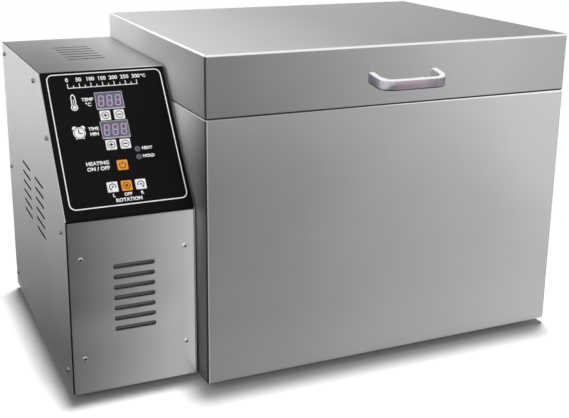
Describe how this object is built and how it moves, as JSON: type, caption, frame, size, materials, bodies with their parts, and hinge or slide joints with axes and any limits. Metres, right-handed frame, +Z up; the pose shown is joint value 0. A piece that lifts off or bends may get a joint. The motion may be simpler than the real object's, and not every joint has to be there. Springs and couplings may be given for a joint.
{
  "type": "electric nut roaster",
  "caption": "Counter-top nut roaster: insulated steel box with a motor-driven drum, hinged lid with a D handle, and a side control box with a sloping key panel.",
  "frame": {"origin": "on the table, under the middle of the whole roaster", "axes": "+X to the right seen from the front, +Y to the back, +Z up"},
  "size_m": [0.6568, 0.47, 0.407],
  "materials": {
    "stainless_sheet": "satin",
    "oven_steel": "satin",
    "turned_steel": "polished",
    "chrome_bar": "polished",
    "black_rubber": "matte",
    "silicone": "matte",
    "mineral_wool": "matte",
    "spacer_board": "matte",
    "element_sheath": "matte",
    "cast_alloy": "satin",
    "motor_paint": "satin",
    "panel_film": "satin",
    "display_plastic": "gloss",
    "lamp_plastic": "gloss",
    "board": "satin",
    "black_plastic": "matte",
    "key_white": "satin",
    "key_orange": "satin"
  },
  "bodies": {
    "casing": {"cable_gland": "black_plastic", "casing_floor": "stainless_sheet", "casing_rear": "stainless_sheet", "casing_wrap": "stainless_sheet", "chamber_liner": "oven_steel", "control_board": "board", "control_inner_wall": "stainless_sheet", "control_shell": "stainless_sheet", "displays": "display_plastic", "drum_bearing": "cast_alloy", "drum_saddle": "turned_steel", "element_bracket": "oven_steel", "feet": "black_rubber", "front_cover": "stainless_sheet", "gear_case": "cast_alloy", "gland_nut": "black_plastic", "heating_element_front": "element_sheath", "heating_element_rear": "element_sheath", "hinge_body_leaves": "turned_steel", "hinge_pins": "turned_steel", "indicator_lamps": "lamp_plastic", "key_panel": "panel_film", "motor": "motor_paint", "motor_standoffs": "turned_steel", "panel_screws": "turned_steel", "shaft_sleeve": "oven_steel", "side_cover": "stainless_sheet", "solid_state_relay": "black_plastic", "spacer_frame": "spacer_board", "tact_switches": "black_plastic", "temperature_probe": "turned_steel", "terminal_block": "black_plastic", "wall_insulation": "mineral_wool"},
    "lid": {"lid_shell": "stainless_sheet", "lid_pan": "oven_steel", "lid_insulation": "mineral_wool", "lid_seal": "silicone", "handle": "chrome_bar", "hinge_lid_leaves": "turned_steel"},
    "drum": {"drum_shell": "oven_steel", "drum_ends": "oven_steel", "lifting_vanes": "oven_steel", "hatch_rails": "oven_steel", "drum_tongue": "turned_steel", "drum_journal": "turned_steel", "drive_fork": "turned_steel", "drive_shaft": "turned_steel", "shaft_coupling": "turned_steel", "motor_shaft": "turned_steel"},
    "hatch": {"drum_hatch": "oven_steel", "hatch_knob": "turned_steel"},
    "key_temperature_up": {"key_temperature_up": "key_white"},
    "key_temperature_down": {"key_temperature_down": "key_white"},
    "key_time_up": {"key_time_up": "key_white"},
    "key_time_down": {"key_time_down": "key_white"},
    "key_heat": {"key_heat": "key_orange"},
    "key_turn_left": {"key_turn_left": "key_white"},
    "key_turn_stop": {"key_turn_stop": "key_orange"},
    "key_turn_right": {"key_turn_right": "key_white"}
  },
  "joints": [
    {"name": "lid_hinge", "type": "hinge", "parent": "casing", "child": "lid", "pos_m": [0.07835, 0.2182, 0.334], "axis": [-1, 0, 0], "range_deg": [0, 100]},
    {"name": "drum_spin", "type": "hinge", "parent": "casing", "child": "drum", "pos_m": [0.07835, 0.007, 0.2145], "axis": [1, 0, 0], "continuous": true},
    {"name": "hatch_slide", "type": "slide", "parent": "drum", "child": "hatch", "axis": [1, 0, 0], "range_m": [0, 0.1856]},
    {"name": "key_temperature_up_press", "type": "slide", "parent": "casing", "child": "key_temperature_up", "axis": [0, 0.7965, -0.6046], "range_m": [0, 0.0005], "stiffness_N_per_m": 1500},
    {"name": "key_temperature_down_press", "type": "slide", "parent": "casing", "child": "key_temperature_down", "axis": [0, 0.7965, -0.6046], "range_m": [0, 0.0005], "stiffness_N_per_m": 1500},
    {"name": "key_time_up_press", "type": "slide", "parent": "casing", "child": "key_time_up", "axis": [0, 0.7965, -0.6046], "range_m": [0, 0.0005], "stiffness_N_per_m": 1500},
    {"name": "key_time_down_press", "type": "slide", "parent": "casing", "child": "key_time_down", "axis": [0, 0.7965, -0.6046], "range_m": [0, 0.0005], "stiffness_N_per_m": 1500},
    {"name": "key_heat_press", "type": "slide", "parent": "casing", "child": "key_heat", "axis": [0, 0.7965, -0.6046], "range_m": [0, 0.0005], "stiffness_N_per_m": 1500},
    {"name": "key_turn_left_press", "type": "slide", "parent": "casing", "child": "key_turn_left", "axis": [0, 0.7965, -0.6046], "range_m": [0, 0.0005], "stiffness_N_per_m": 1500},
    {"name": "key_turn_stop_press", "type": "slide", "parent": "casing", "child": "key_turn_stop", "axis": [0, 0.7965, -0.6046], "range_m": [0, 0.0005], "stiffness_N_per_m": 1500},
    {"name": "key_turn_right_press", "type": "slide", "parent": "casing", "child": "key_turn_right", "axis": [0, 0.7965, -0.6046], "range_m": [0, 0.0005], "stiffness_N_per_m": 1500}
  ]
}
